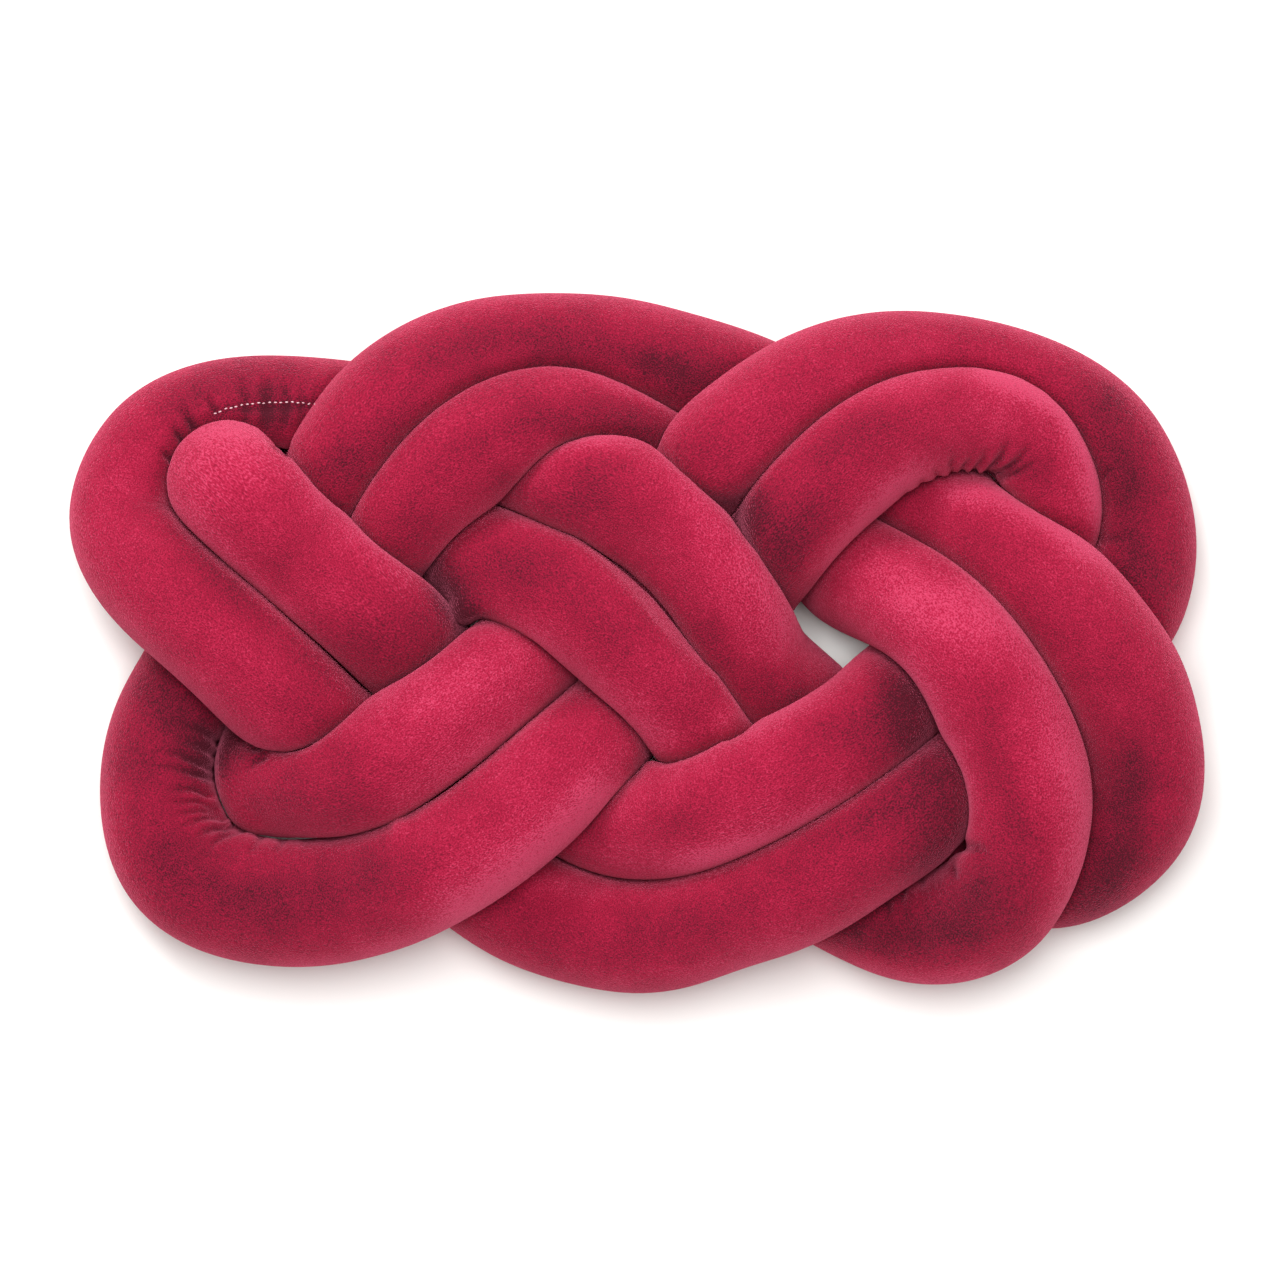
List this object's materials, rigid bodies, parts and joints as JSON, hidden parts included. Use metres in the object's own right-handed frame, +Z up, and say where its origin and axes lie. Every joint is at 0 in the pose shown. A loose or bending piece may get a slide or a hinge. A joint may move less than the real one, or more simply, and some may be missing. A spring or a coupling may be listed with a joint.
{
  "type": "knot cushion",
  "caption": "Flat rectangular cushion knotted from one thick stuffed plush tube laid double, its ends sewn together.",
  "frame": {"origin": "middle of the footprint, on the surface it lies on", "axes": "+X along the cushion's length, +Y across it, towards the top of the picture, +Z up from the surface"},
  "size_m": [0.646, 0.4004, 0.1223],
  "materials": {
    "raspberry_plush": "short-pile plush, brushed"
  },
  "bodies": {
    "root": {"knot_tube": "raspberry_plush"}
  },
  "joints": []
}
